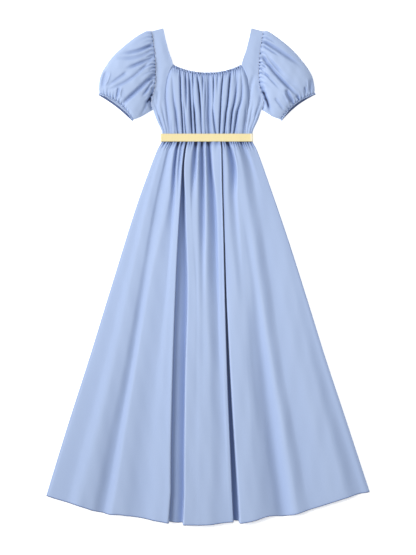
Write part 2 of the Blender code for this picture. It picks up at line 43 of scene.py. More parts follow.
# Everything below is worked out in millimetres: x across the gown, down from the shoulders to the hem,
# and a height above the floor. gridPoints turns that into metres.
gown = {
    "length": 1392.0,
    "waistSeam": 305.0,
    "seamGap": 0.3,
    "cloth": 0.9,  # thickness of the cloth
    "frontRest": 1.5,  # the front lies on the back
    "ribbonLift": 1.3,  # the cloth lies on the back of the belt here
    "liftHalfWidth": 18.5,
    "liftRamp": 28.0,
    "pressedGather": 4.0,  # height of a gather under the belt
    "pressedFrom": (250.0, 36.0),  # the bodice is flattened from here on, over so much of the way down
}


# Shared helpers.
def eased(t):
    t = np.clip(t, 0.0, 1.0)
    return t * t * (3.0 - 2.0 * t)


def through(stations, values, t):
    # smooth curve through the stations' values, which may be rows of numbers
    stations = np.asarray(stations, float)
    values = np.asarray(values, float)
    t = np.clip(t, stations[0], stations[-1])
    last = len(stations) - 2
    i = np.clip(np.searchsorted(stations, t, side="left") - 1, 0, last)
    before = np.maximum(np.arange(last + 2) - 1, 0)
    after = np.minimum(np.arange(last + 2) + 1, last + 1)
    run = stations[after] - stations[before]
    slope = (values[after] - values[before]) / (run if values.ndim == 1 else run[:, None])
    step = stations[i + 1] - stations[i]
    s = (t - stations[i]) / step
    start = (1 + 2 * s) * (1 - s) ** 2 * values[i] + s * (1 - s) ** 2 * step * slope[i]
    end = s * s * (3 - 2 * s) * values[i + 1] - s * s * (1 - s) * step * slope[i + 1]
    return start + end


def spread(*runs):
    # places from 0 to 1; a run starts at a share and has so many places
    ends = [start for start, _ in runs[1:]] + [1]
    return np.concatenate([np.linspace(start, end, count, endpoint=(end == 1))
                           for (start, count), end in zip(runs, ends)])


def alongEdge(edge, share):
    # point at a share of an edge's length, the edge being rows of (down, x)
    downs, xs = np.array(edge, float).T
    lengths = np.concatenate(([0.0], np.cumsum(np.hypot(np.diff(xs), np.diff(downs)))))
    at = share * lengths[-1]
    return through(lengths, xs, at), through(lengths, downs, at)


def foldProfile(places, heights, interval, fraction):
    # heights of the cloth between fold lines: level on every crest and trough, never past them
    widths = np.maximum(np.diff(places), 1e-6)
    rises = np.diff(heights) / widths
    slopes = np.zeros(len(places))
    same = rises[:-1] * rises[1:] > 0
    w1, w2 = 2 * widths[1:] + widths[:-1], widths[1:] + 2 * widths[:-1]
    safe = np.where(same, rises[:-1], 1.0), np.where(same, rises[1:], 1.0)
    slopes[1:-1] = np.where(same, (w1 + w2) / (w1 / safe[0] + w2 / safe[1]), 0.0)
    k, f, w = interval, fraction, widths[interval]
    return ((1 + 2 * f) * (1 - f) ** 2 * heights[k] + f * (1 - f) ** 2 * w * slopes[k]
            + f * f * (3 - 2 * f) * heights[k + 1] - f * f * (1 - f) * w * slopes[k + 1])


def softNoise(x, y, size, seed=0.0):
    # a gentle unevenness between -1 and 1, about one wave for each size
    a, b = x / size * 2 * math.pi, y / size * 2 * math.pi
    n = np.sin(a + 1.7 * seed + 0.6 * np.sin(0.37 * b + seed))
    n = n + np.sin(0.71 * b - 0.43 * a + 2.9 * seed) + 0.6 * np.sin(1.63 * a + 0.57 * b + 4.1 * seed)
    return (n + 0.5 * np.sin(1.31 * b - 1.9 * a + 0.3 * seed)) / 3.1


def foldDepth(folds, x, down):
    # soft troughs on bowed lines; a row is x, down, endX, endDown, bend, width, depth (a ridge below 0)
    depth = np.zeros(np.broadcast(x, down).shape)
    for fx, fd, ex, ed, bend, width, deep in folds:
        runX, runDown = ex - fx, ed - fd
        length = math.hypot(runX, runDown)
        along = ((x - fx) * runX + (down - fd) * runDown) / length ** 2
        beside = ((down - fd) * runX - (x - fx) * runDown) / length
        off = beside - 4.0 * bend * along * (1.0 - along)
        ends = eased((along + 0.12) / 0.25) * eased((1.1 - along) / 0.45)
        depth = depth + deep * ends * np.exp(-((off / width) ** 2))
    return depth


def skyHidden(across, height, reach=70.0):
    # how much of the sky the neighbouring folds hide, along one row of cloth, from 0 to 1, used for painted
    # shade
    run = across[None, :] - across[:, None]
    rise = (height[None, :] - height[:, None]) / np.maximum(np.abs(run), 0.5)
    rise = np.where(np.abs(run) < reach, rise, 0.0)
    left = np.maximum(np.where(run < 0, rise, 0.0).max(axis=1), 0.0)
    right = np.maximum(np.where(run > 0, rise, 0.0).max(axis=1), 0.0)
    return (left / np.hypot(1.0, left) + right / np.hypot(1.0, right)) / 2


def ribbonLift(down):
    away = np.abs(down - belt["top"] - belt["width"] / 2) - gown["liftHalfWidth"]
    return gown["ribbonLift"] * (1.0 - np.clip(away / gown["liftRamp"], 0.0, 1.0))


def upToWaist(down):
    return np.minimum(down, gown["waistSeam"] - gown["seamGap"] / 2)


def gridPoints(x, down, height):
    x, down, height = np.broadcast_arrays(x, down, height)
    return np.stack([x, gown["length"] / 2 - down, height], axis=-1) * 0.001


def arcLengths(points, axis):
    steps = np.linalg.norm(np.diff(points, axis=axis), axis=2)
    lengths = np.cumsum(steps, axis=axis)
    pad = [(0, 0), (0, 0)]
    pad[axis] = (1, 0)
    return np.pad(lengths, pad)


def addObject(name, data, place=(0.0, 0.0, 0.0)):
    thing = bpy.data.objects.new(name, data)
    bpy.context.scene.collection.objects.link(thing)
    thing.location = place
    return thing


def addPiece(name, verts, faces, material):
    mesh = bpy.data.meshes.new(name)
    mesh.from_pydata(verts, [], faces)
    mesh.materials.append(material)
    mesh.shade_smooth()
    return addObject(name, mesh)


def clothGrid(name, rows, paintedShade=None, turned=False, around=False, outwards=1.0, thickness=gown["cloth"],
              material=None):
    # one sheet through rows of points, or a tube of rings, with thread lengths as its UV map;
    # the shade rows give painted shade: how much the material darkens each point deep in a fold
    points = np.array(rows)
    if around:
        points = np.concatenate([points, points[:, :1]], axis=1)
    u, v = arcLengths(points, 1), arcLengths(points, 0)
    height, width = points.shape[:2]
    ring = width - 1 if around else width
    flat = points[:, :ring].reshape(-1, 3)
    i, j = np.meshgrid(np.arange(height - 1), np.arange(width - 1), indexing="ij")
    right = (j + 1) % ring if around else j + 1
    corners = [(i, j, j), (i + 1, j, j), (i + 1, right, j + 1), (i, right, j + 1)]
    if turned:
        corners = corners[::-1]
    faces = np.stack([a * ring + b for a, b, _ in corners], axis=-1).reshape(-1, 4)
    uvs = np.stack([np.stack([u[a, c], v[a, c]], axis=-1) for a, _, c in corners], axis=2).reshape(-1)
    piece = addPiece(name, flat.tolist(), faces.tolist(), material or blueCloth)
    piece.data.uv_layers.new(name="threads").data.foreach_set("uv", uvs)
    if paintedShade is not None:
        shade = piece.data.attributes.new("paintedShade", "FLOAT", "POINT")
        shade.data.foreach_set("value", np.clip(paintedShade, 0.0, 1.0).reshape(-1))
    wall = piece.modifiers.new("wall", "SOLIDIFY")
    wall.thickness = thickness * 0.001
    wall.offset = outwards
    return piece


def dress(piece, nodes, sewnOn=()):
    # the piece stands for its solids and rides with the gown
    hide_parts(*nodes)
    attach(piece, "root")


def stitchRow(name, line, look, material):
    # short raised stitches along a line of points in metres
    line = np.asarray(line, float)
    lengths = np.concatenate(([0.0], np.cumsum(np.linalg.norm(np.diff(line, axis=0), axis=1))))
    pitch, size, thick = look["pitch"] * 0.001, look["stitch"] * 0.001, look["thread"] * 0.001
    verts, faces = [], []
    for k in range(int(lengths[-1] / pitch)):
        at = (k + 0.5) * pitch
        a, b = (np.array([np.interp(s, lengths, line[:, c]) for c in range(3)])
                for s in (at - size / 2, at + size / 2))
        way = (b - a) / max(np.linalg.norm(b - a), 1e-9)
        side = np.cross(way, (0.0, 0.0, 1.0))
        side /= max(np.linalg.norm(side), 1e-9)
        up = np.cross(side, way)
        start = len(verts)
        verts.append(a)
        for share in (0.25, 0.75):
            middle = a + (b - a) * share
            for turn in range(6):
                angle = turn * math.pi / 3
                verts.append(middle + thick / 2 * 0.85 * (math.cos(angle) * side + math.sin(angle) * up))
        verts.append(b)
        for turn in range(6):
            n = (turn + 1) % 6
            faces.append((start, start + 1 + n, start + 1 + turn))
            faces.append((start + 1 + turn, start + 1 + n, start + 7 + n, start + 7 + turn))
            faces.append((start + 13, start + 7 + turn, start + 7 + n))
    piece = addPiece(name, [tuple(p) for p in verts], faces, material)
    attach(piece, "root")
    return piece


# Materials.
clothLook = {
    "light": (0.488, 0.605, 0.855, 1.0),
    "deep": (0.445, 0.565, 0.835, 1.0),
    "threads": (0.00055, 0.00055),  # across and along, in metres; each wave of the weave is pi times this
    "weave": (0.5, 0.5),  # share of each set of threads
    "bump": 0.35,
    "roughness": (0.50, 0.62),
    "sheen": 0.25,
    # painted shade: share of the sky the folds hide, then what the colour is multiplied by
    "paintedShadeRamp": (
        (0.1, (0.95, 0.96, 0.98, 1)), (0.35, (0.79, 0.82, 0.89, 1)), (0.65, (0.57, 0.62, 0.74, 1)),
        (0.85, (0.2, 0.25, 0.38, 1)), (1, (0.04, 0.05, 0.1, 1)),
    ),
}
ribbonLook = {
    "light": (0.95, 0.82, 0.45, 1.0),
    "deep": (0.91, 0.76, 0.38, 1.0),
    "threads": (0.0011, 0.0006),  # its ribs, and the threads between them
    "weave": (0.9, 0.1),
    "bump": 0.6,
    "roughness": (0.36, 0.46),
    "sheen": 0.1,
    # painted shade: what the colour is multiplied by deep in a fold
    "paintedShadeRamp": ((1.0, (0.8, 0.7, 0.5, 1.0)),),
}


def wovenMaterial(name, look):
    material = bpy.data.materials.new(name)
    material.use_nodes = True
    tree = material.node_tree

    def fed(node, values, sources):
        # sets some of a node's inputs and joins others to what feeds them
        for socket, value in values.items():
            node.inputs[socket].default_value = value
        for socket, source in sources.items():
            tree.links.new(source, node.inputs[socket])
        return node

    def added(kind, values, sources, output):
        return fed(tree.nodes.new("ShaderNode" + kind), values, sources).outputs[output]

    def scaled(source, factor, plus=None):
        node = tree.nodes.new("ShaderNodeMath")
        node.operation = "MULTIPLY" if plus is None else "MULTIPLY_ADD"
        return fed(node, {1: factor}, {0: source} if plus is None else {0: source, 2: plus}).outputs[0]

    def mixed(blend, values, sources):
        node = tree.nodes.new("ShaderNodeMix")
        node.data_type = "RGBA"
        node.blend_type = blend
        return fed(node, values, sources).outputs["Result"]

    coords = tree.nodes.new("ShaderNodeTexCoord")
    waves = []
    for direction, size in zip("XY", look["threads"]):
        wave = tree.nodes.new("ShaderNodeTexWave")
        wave.bands_direction = direction
        values = {"Scale": 0.314 / size / math.pi, "Distortion": 0.4, "Detail": 1.0}
        fed(wave, values, {"Vector": coords.outputs["UV"]})
        waves.append(wave.outputs["Fac"])
    weave = scaled(waves[0], look["weave"][0], scaled(waves[1], look["weave"][1]))

    # uneven threads, long one way, and a slow change of tone over the gown
    stretched = added("Mapping", {"Scale": (900.0, 60.0, 1.0)}, {"Vector": coords.outputs["UV"]}, "Vector")
    slub = added("TexNoise", {"Scale": 1.0, "Detail": 3.0}, {"Vector": stretched}, "Fac")
    cloud = added("TexNoise", {"Scale": 7.0, "Detail": 2.0}, {"Vector": coords.outputs["Object"]}, "Fac")
    share = scaled(weave, 0.45, scaled(slub, 0.35, scaled(cloud, 0.4)))
    tone = mixed("MIX", {"A": look["deep"], "B": look["light"]}, {"Factor": share})

    # painted shade: the colour is made darker and bluer deep in a fold
    fold = tree.nodes.new("ShaderNodeAttribute")
    fold.attribute_name = "paintedShade"
    ramp = fed(tree.nodes.new("ShaderNodeValToRGB"), {}, {"Fac": fold.outputs["Fac"]})
    stops = ramp.color_ramp.elements
    stops[0].color = (1.0, 1.0, 1.0, 1.0)
    stops[1].color = look["paintedShadeRamp"][-1][1]
    for place, shade in look["paintedShadeRamp"][:-1]:
        stops.new(place).color = shade
    shaded = mixed("MULTIPLY", {"Factor": 1.0}, {"A": tone, "B": ramp.outputs["Color"]})

    low, high = look["roughness"]
    gloss = added("MapRange", {"To Min": low, "To Max": high}, {"Value": slub}, "Result")
    bump = added("Bump", {"Strength": look["bump"], "Distance": 0.00012}, {"Height": weave}, "Normal")
    fed(tree.nodes["Principled BSDF"],
        {"Sheen Weight": look["sheen"], "Sheen Roughness": 0.45, "Specular IOR Level": 0.35},
        {"Base Color": shaded, "Roughness": gloss, "Normal": bump})
    return material


blueCloth = wovenMaterial("blueCloth", clothLook)
yellowRibbon = wovenMaterial("yellowRibbon", ribbonLook)
threadLook = dict(clothLook, light=(0.45, 0.56, 0.82, 1.0), deep=(0.42, 0.53, 0.79, 1.0))
blueThread = wovenMaterial("blueThread", threadLook)
# the lap's paler colour is a painted highlight on the ribbon's turned end
lapHighlightLook = dict(ribbonLook, light=(1.0, 0.93, 0.74, 1.0), deep=(0.97, 0.89, 0.68, 1.0))
paintedHighlightRibbon = wovenMaterial("paintedHighlightRibbon", lapHighlightLook)
print("materials made")

# Belt sizes, which the cloth near the waist needs too.
belt = {
    "top": 295.6,
    "width": 22.0,
    "ends": (-131.2, 128.4),
    "bend": 3.6,  # radius of the turn at each side
    "ribbon": 0.7,  # thickness
    "lap": (121.2, 127.7),
    "lapLift": 0.4,
    "frontHeight": 9.7,
    "cut": (0.53, 0.022),
}

# Skirt front.
skirt = {
    "side": (  # down, half width
        (305, 125.5), (317, 126.5), (341, 139), (425, 169.4), (593, 226.8),
        (761, 280), (929, 331.8), (1097, 386.4), (1300, 450.8),
    ),
    "stations": (0.0, 0.07, 0.165, 0.37, 0.60, 0.92),  # shares of the way down, for the fold lines
    "depth": 1080.0,  # about, from the waist to the hem
    "fullerLeft": 3.4,  # the left side bows out this much more below the waist
    "fullerAt": (0.17, 0.13),  # there, and over so much of the way down
    "fullerHem": 3.6,  # and the right side at the hem
    "hemSag": 92.0,
    # how far the hem lies below the smooth line: share of the half width, millimetres
    "hemOffsets": (
        (-1, 15.5), (-0.87, 9), (-0.8, 5), (-0.64, 7.5), (-0.54, -1.5), (-0.25, -2),
        (-0.17, 0), (0, -1.5), (0.15, -6), (0.21, -3), (0.29, -7), (0.37, -12),
        (0.42, -8), (0.47, -1), (0.56, -5), (0.81, -9), (0.92, -4.5), (1, 5),
    ),
    "hemPower": 2.1,
    "hemShade": 1.0,  # painted shade on the narrow hem, which is three layers thick
    "hemWidth": 2.8,
    "hemGroove": (0.35, 4.5, 1.2),  # above it: depth, how far up, width
    "beltShade": (0.40, 12.0),  # painted shade under the belt, and how far down in millimetres
    "hemDip": 0.45,
    "highestFold": 16.0,
    "waistCrest": 12.0,
    "ruche": (118, 31),  # ripples and their unevenness over half the waist, in radians
    "unevenness": 0.9,
    "cut": (0.98, 1.09),
    "area": 0.72,
}

# A fold line is where the cloth turns: its place as a share of the half width, then the height of the
# cloth there, each at the six stations
skirtFolds = (
    ((-1, -1, -1, -1, -1, -1), (0, 0, 0, 0, 0, 0)),  # side seam
    ((-0.975, -0.975, -0.98, -0.98, -0.98, -0.98), (0.8, 1, 1.2, 1.4, 1.6, 2)),
    ((-0.93, -0.93, -0.925, -0.9, -0.88, -0.88), (2, 2.4, 3, 3.6, 3.8, 3)),
    ((-0.87, -0.87, -0.85, -0.82, -0.79, -0.79), (3.5, 4.5, 5.8, 7.6, 9.6, 10.5)),
    ((-0.84, -0.81, -0.785, -0.74, -0.72, -0.72), (3.4, 4.2, 5.2, 6.6, 7.8, 8)),
    ((-0.8, -0.76, -0.735, -0.69, -0.66, -0.65), (1.5, 1.8, 2.6, 4, 3.2, 1.2)),  # first long trough
    ((-0.7, -0.645, -0.58, -0.61, -0.605, -0.585), (7, 8.5, 9.5, 8.8, 9.5, 9.5)),
    ((-0.635, -0.584, -0.512, -0.452, -0.446, -0.42), (0, 0.4, 5, 8, 6.5, 5)),  # second, softer
    ((-0.595, -0.549, -0.474, -0.41, -0.372, -0.327), (9, 10.5, 11, 11.5, 11.5, 10.5)),
    ((-0.545, -0.509, -0.445, -0.385, -0.338, -0.285), (5, 7.6, 12.2, 13, 13.2, 12.7)),
    ((-0.49, -0.464, -0.412, -0.351, -0.302, -0.242), (11, 13, 13.5, 14.5, 15, 15)),  # the wide channel
    ((-0.475, -0.454, -0.402, -0.345, -0.296, -0.238), (0, 1, 2.5, 3.4, 4, 4.2)),
    ((-0.462, -0.443, -0.382, -0.295, -0.249, -0.2), (0, 0.5, 1.4, 2.4, 3.7, 4.1)),
    ((-0.445, -0.428, -0.355, -0.236, -0.192, -0.153), (0, 0, 0, 0, 0, 0)),
    ((-0.43, -0.412, -0.318, -0.212, -0.1855, -0.148), (11, 13, 13.5, 14, 14.5, 15)),
    ((-0.3, -0.314, -0.264, -0.142, -0.117, -0.108), (10, 12.5, 13.5, 14, 14.3, 14.5)),
    ((-0.25, -0.232, -0.227, -0.12, -0.093, -0.077), (0, 3, 12, 13.6, 14, 14.2)),  # fades early
    ((-0.19, -0.178, -0.153, -0.099, -0.068, -0.052), (10, 12.5, 13.5, 14, 14.2, 14.4)),
    ((-0.115, -0.085, -0.064, -0.051, -0.035, -0.027), (0, 0, 4, 12, 13.8, 14.2)),  # fades by a third
    ((-0.06, -0.033, -0.019, -0.014, 0.012, 0.02), (10, 12.5, 13.5, 14, 14, 14)),
    ((0.03, 0.064, 0.1, 0.104, 0.102, 0.112), (0, 0, 2, 6.2, 9.3, 10.9)),  # centre trough
    ((0.1, 0.103, 0.145, 0.134, 0.124, 0.13), (10, 12.5, 13.5, 12, 10.8, 11)),
    ((0.28, 0.235, 0.205, 0.17, 0.15, 0.144), (10, 13, 14, 13.8, 13.4, 11.3)),
    ((0.3, 0.258, 0.224, 0.185, 0.166, 0.159), (11, 14.5, 15.5, 15.5, 13.5, 11.2)),  # the dark crease
    ((0.312, 0.268, 0.232, 0.191, 0.171, 0.164), (0, 0, 0, 0, 0, 0)),
    ((0.322, 0.276, 0.238, 0.2, 0.191, 0.193), (0, 0, 0, 0, 0, 0)),
    ((0.336, 0.29, 0.251, 0.213, 0.203, 0.205), (9, 11, 12, 13, 14.5, 14.6)),
    ((0.375, 0.357, 0.3, 0.307, 0.285, 0.262), (10, 12.5, 13, 14.5, 15.2, 16)),
    ((0.44, 0.49, 0.404, 0.372, 0.338, 0.3), (0, 0, 8, 12.8, 15, 15.2)),
    ((0.5, 0.545, 0.464, 0.405, 0.365, 0.342), (10, 12, 12.5, 12.8, 14, 13)),
    ((0.515, 0.56, 0.485, 0.458, 0.415, 0.41), (9.7, 11.8, 12.4, 11.8, 9.4, 7.6)),
    ((0.53, 0.573, 0.515, 0.508, 0.48, 0.47), (8.5, 11.6, 12.3, 10.2, 4.6, 0.6)),  # grows to the hem
    ((0.6, 0.615, 0.585, 0.57, 0.562, 0.56), (10, 11.6, 12.2, 12.6, 13, 13.4)),
    ((0.72, 0.785, 0.76, 0.695, 0.655, 0.635), (0.6, 1.6, 4.2, 5.4, 7.2, 8)),
    ((0.8, 0.845, 0.835, 0.79, 0.775, 0.785), (4, 3.6, 3.7, 5, 8.2, 10.5)),
    ((0.87, 0.892, 0.89, 0.89, 0.87, 0.86), (2.8, 2.8, 3.1, 4.1, 6.8, 10)),
    ((0.93, 0.95, 0.955, 0.958, 0.955, 0.952), (1.4, 1.5, 1.9, 2.4, 2, 1.6)),  # edge trough
    ((0.975, 0.98, 0.985, 0.985, 0.982, 0.98), (0.8, 0.9, 1.1, 1.5, 1.5, 1.8)),
    ((1, 1, 1, 1, 1, 1), (0, 0, 0, 0, 0, 0)),
)


def hemDown(share, stepped=1.0):
    shares, offsets = np.array(skirt["hemOffsets"]).T
    smooth = gown["length"] - skirt["hemSag"] * np.abs(share) ** skirt["hemPower"]
    return smooth + stepped * through(shares, offsets, share)


def skirtHalfWidth(v):
    downs, widths = np.array(skirt["side"]).T
    return through(downs, widths, gown["waistSeam"] + v * (downs[-1] - gown["waistSeam"]))


def skirtDown(hem, v):
    return gown["waistSeam"] + gown["seamGap"] / 2 + v * (hem - gown["waistSeam"])


def foldColumns(places, widest, fewest):
    # columns between fold lines, closer together where two lines are near each other
    interval, fraction = [], []
    for k, gap in enumerate(np.diff(places)):
        count = max(fewest, int(math.ceil(gap / widest)))
        interval += [k] * count
        fraction += [j / count for j in range(count)]
    interval.append(len(places) - 2)
    fraction.append(1.0)
    return np.array(interval), np.array(fraction)


def makeSkirtFront():
    lines = np.array([fold[0] for fold in skirtFolds]).T
    levels = np.array([fold[1] for fold in skirtFolds], float).T
    interval, fraction = foldColumns(through(skirt["stations"], lines, 0.3), 0.0125, 5)
    shares = spread((0, 36), (0.08, 36), (0.3, 60), (0.99, 8))
    press = gown["pressedGather"] / skirt["waistCrest"]
    ripples, drift = skirt["ruche"]
    rows, paintedShade = [], []
    for v in shares:
        places = through(skirt["stations"], lines, v)
        heights = np.maximum(through(skirt["stations"], levels, v), 0.0)
        share = places[interval] + fraction * (places[interval + 1] - places[interval])
        rise = press + (1 - press) * eased((v - 0.008) / 0.02)
        opened = foldProfile(places, heights, interval, fraction)
        height = rise * opened
        middle, reach = skirt["fullerAt"]
        fuller = skirt["fullerLeft"] * math.exp(-(((v - middle) / reach) ** 2))
        x = share * skirtHalfWidth(v) - fuller * np.maximum(-share, 0.0) ** 2
        x = x + skirt["fullerHem"] * v ** 4 * np.maximum(share, 0.0) ** 2
        down = skirtDown(hemDown(share, v ** 4), v)
        ruche = np.sin(share * ripples + 1.3 * np.sin(share * drift))
        ruche = ruche * eased((0.045 - v) / 0.035) * (0.6 + 1.1 * eased(v / 0.01))
        inside = eased((1 - np.abs(share)) / 0.05)
        noise = softNoise(x, down * 0.35, 75, 1.0) * skirt["unevenness"] * eased(v / 0.1)
        raised = eased(height / 6.0)
        height = np.maximum(height + inside * (ruche + raised * noise), 0.0)
        toHem = (1 - v) * skirt["depth"]
        deep, above, width = skirt["hemGroove"]
        groove = deep * np.exp(-((toHem - above) / width) ** 2)
        down = down - skirt["hemDip"] * (skirt["highestFold"] - height) * v ** 3
        # painted shade along the turned hem and under the belt, with the folds' own painted shade
        paintedHemShade = skirt["hemShade"] * math.exp(-((toHem / skirt["hemWidth"]) ** 2))
        shade, reach = skirt["beltShade"]
        paintedBeltShade = shade * np.exp(-np.maximum((down - belt["top"] - belt["width"]) / reach, 0.0) ** 2)
        tone = skyHidden(x, height + (1 - rise) * opened) + paintedBeltShade
        paintedShade.append(np.maximum(tone, paintedHemShade))
        rows.append(gridPoints(x, down, gown["frontRest"] + ribbonLift(down) + height - groove * raised))
    piece = clothGrid("skirtFront", rows, paintedShade)
    dress(piece, ["skirt_front"])


makeSkirtFront()
print("skirt front made")

# Skirt back, which lies flat on the floor, a little inside the front.
skirtBack = {
    "narrower": 1.0,
    "shorter": 3.0,
    "cut": (0.9, 1.09),
    "area": 0.63,
}


def makeSkirtBack():
    shares = np.linspace(-1, 1, 81)
    hem = hemDown(shares) - skirt["hemDip"] * skirt["highestFold"] - skirtBack["shorter"]
    rows = []
    for v in spread((0, 16), (0.06, 60)):
        down = skirtDown(hem, v)
        rows.append(gridPoints(shares * (skirtHalfWidth(v) - skirtBack["narrower"]), down, ribbonLift(down)))
    piece = clothGrid("skirtBack", rows)
    dress(piece, ["skirt_back"])


makeSkirtBack()
print("skirt back made")

# Bodice: a side section runs from the inner edge to the outer edge.
bodice = {
    "sections": (  # innerDown, innerX, outerDown, outerX
        (0, 123.3, 8.4, 155.4), (30, 116.8, 32, 151.5), (62, 108.8, 60, 147),
        (87, 99.6, 88, 144.6), (102, 95.5, 108, 143.6), (118, 104, 130, 143.4),
        (142, 112, 152, 144.4), (170, 116, 176, 148.2), (196, 116.4, 198, 154.6),
        (214, 114.6, 213, 157), (230, 112.6, 228, 151.5), (258, 109.4, 256, 142),
        (286, 106.6, 286, 128.3), (305, 105.4, 305, 126),
    ),
    "neckRow": 4,
    "underarmRow": 10,
    "rowDepth": 16.0,  # from the neck row to the next
    "depth": 190.0,  # about, from the neckline to the waist
    "neckline": 124.0,
    "necklinePower": 2.2,
    "casingWidth": 6.0,
    "crest": 9.0,
    "seamHeight": 4.0,
    "neckPress": 0.35,
    "columns": 250,
    "grooveGain": 1.08,
    # painted shade in the gathers' grooves, and along the seams and under the casing
    "grooveShade": 1.3,
    "seamShade": 0.7,
    "grooveStations": (0.0, 0.33, 0.67, 1.0),
    # one row a gather: its x at four stations from neck to waist, its depth there, then its width
    "gathers": (
        ((-101, -95.2, -88, -80.5), (0, 2, 4.5, 5.5), 4),
        ((-98, -94, -91, -88.1), (0, 0, 0, 4), 2.5),
        ((-100.6, -100.6, -100.6, -100.6), (0, 0, 0, 3.5), 2),
        ((-76.1, -74.2, -70.8, -67.1), (6, 5.5, 6.5, 6), 2.6),
        ((-61.4, -58.9, -58.1, -57.6), (6.5, 4, 0, 0), 3),
        ((-65.2, -65.2, -63.9, -58.4), (0, 0, 2.8, 4.4), 2.5),
        ((-50.9, -48, -45.5, -41.7), (4, 6.5, 8, 6.5), 3.6),
        ((-49, -49, -49, -49), (0, 0, 0, 3.5), 2),
        ((-40.4, -39, -35.6, -31.4), (6.5, 2, 8, 6), 2.8),
        ((-29.5, -21.8, -18.2, -15.5), (3.6, 8, 4.6, 3.6), 2.6),
        ((-13, -11.7, -11.7, -11.7), (7, 1, 0, 0), 2.8),
        ((-6, -5, -5.6, -4.6), (1, 4, 2.5, 3.5), 2.2),
        ((4.3, 4.3, 3.4, 6), (4.2, 6, 6.6, 7), 6.4),
        ((17.5, 17.2, 16, 16), (6.5, 3, 0, 0), 2.6),
        ((16, 16, 16.8, 25.6), (0, 0, 4.2, 5.8), 3.4),
        ((28.4, 28.4, 28.4, 28.4), (5, 0, 0, 0), 2.6),
        ((45.3, 39, 36.5, 33.2), (6, 5.5, 7, 6.5), 2.4),
        ((53.3, 53.3, 53.3, 53.3), (0, 0, 0, 3.5), 2),
        ((65.7, 59.2, 52.3, 45.6), (8, 6.5, 7, 7), 2.8),
        ((81, 79.1, 78, 76), (4, 1, 0, 0), 5),
        ((87.7, 79.7, 69.2, 62.9), (0, 4.5, 6.5, 6.5), 3.4),
        ((94, 97.2, 83.9, 72.4), (0, 3, 6, 7), 3.8),
        ((82.9, 82.9, 82.9, 82.9), (0, 0, 0, 3.5), 2),
        ((96, 110, 108.7, 99.2), (0, 0, 4.5, 7), 4.5),
    ),
    # short gathers between the long ones, by their x
    "neckGathers": (-92.9, -85.3, -76.7, -54.7, -49.0, -34.5, -22.2, -18.0, -6.9, 0.5, 11.5, 22.5,
                    33.0, 37.0, 50.5, 56.2, 61.0, 74.0, 88.7),
    "waistGathers": (-95.5, -73.4, -62.5, -24.5, -10.0, 14.0, 40.0, 57.5, 67.5, 91.0),
    "shortGather": (2.6, 1.5, 15.0),  # depth, width, reach
    "cut": (0.34, 0.185),
}


def sideSection(row):
    # ends of a section at a place in the table: the inner edge runs straight between its rows, the outer
    # edge is smooth
    sections = np.array(bodice["sections"])
    place = min(row, len(sections) - 1.001)
    above, below = sections[int(place)], sections[int(place) + 1]
    innerDown, innerX = (above + place % 1.0 * (below - above))[:2]
    _, _, outerDown, outerX = through(np.arange(len(sections)), sections, row)
    return innerX, innerDown, outerX, outerDown


def neckDown(share):
    corner = bodice["sections"][bodice["neckRow"]][0]
    return bodice["neckline"] - (bodice["neckline"] - corner) * np.abs(share) ** bodice["necklinePower"]


def pressed(height, down):
    low = 1.0 - gown["pressedGather"] / bodice["crest"]
    start, run = gown["pressedFrom"]
    return height * (1.0 - low * eased((down - start) / run))


def bodiceEdges(lower, share, v):
    # half width of a row between the sides, and how far down it lies; the first row lies this much lower
    # than the neckline
    last, first = len(bodice["sections"]) - 1, bodice["neckRow"] + lower / bodice["rowDepth"]
    halfWidth, edgeDown, _, _ = sideSection(first + v * (last - first))
    sag = neckDown(share) - bodice["sections"][bodice["neckRow"]][0]
    return halfWidth, upToWaist(edgeDown + sag * (1 - v))


def makeBodiceFront():
    share = np.linspace(-1, 1, bodice["columns"])
    rows, paintedShade = [], []
    for v in np.linspace(0, 1, 120):
        halfWidth, down = bodiceEdges(bodice["casingWidth"] - 0.2, share, v)
        press = 1 - (1 - bodice["neckPress"]) * (1 - eased(v / 0.16))
        x = share * (halfWidth - gown["seamGap"])
        depth = np.zeros_like(x)
        for places, depths, width in bodice["gathers"]:
            off = np.abs(x - through(bodice["grooveStations"], places, v)) / width
            deep = bodice["grooveGain"] * np.maximum(through(bodice["grooveStations"], depths, v), 0.0)
            depth = depth + (deep * np.exp(-off ** 1.5)) ** 3
        deep, width, reach = bodice["shortGather"]
        for places, away in ((bodice["neckGathers"], v), (bodice["waistGathers"], 1 - v)):
            for k, place in enumerate(places):
                short = deep * math.exp(-(away * bodice["depth"] / (reach * (0.75 + 0.25 * (k % 3)))) ** 2)
                depth = depth + (short * np.exp(-(np.abs(x - place) / width) ** 1.5)) ** 3
        edge = bodice["crest"] - bodice["seamHeight"]
        depth = np.cbrt(depth + (edge * np.exp(-((halfWidth - np.abs(x)) / 5.0) ** 1.5)) ** 3)
        inside = eased((1 - np.abs(share)) / 0.05)
        ripple = np.sin(x * 1.25 + 1.1 * np.sin(x * 0.21))
        fine = ripple * (eased((0.13 - v) / 0.12) + 0.8 * eased((v - 0.84) / 0.14))
        height = np.maximum((bodice["crest"] - depth) * press + inside * 0.9 * fine, 0.2)
        # painted shade under the casing, along the side seams and in the grooves between the gathers
        paintedCasingShade = (0.6 + 0.4 * ripple) * math.exp(-((v * bodice["depth"] / 3.0) ** 2))
        paintedSeamShade = np.exp(-(((halfWidth - np.abs(x)) / 1.3) ** 2))
        tone = bodice["grooveShade"] * skyHidden(x, height)
        paintedShade.append(np.maximum(tone, bodice["seamShade"] * np.maximum(paintedCasingShade, paintedSeamShade)))
        rows.append(gridPoints(x, down, gown["frontRest"] + ribbonLift(down) + pressed(height, down)))
    piece = clothGrid("bodiceFront", rows, paintedShade)
    dress(piece, ["bodice_front"])


makeBodiceFront()

bodiceBack = {
    "lower": 12.0,  # its top edge hides below the neckline
    "cut": (0.23, 0.18),
}


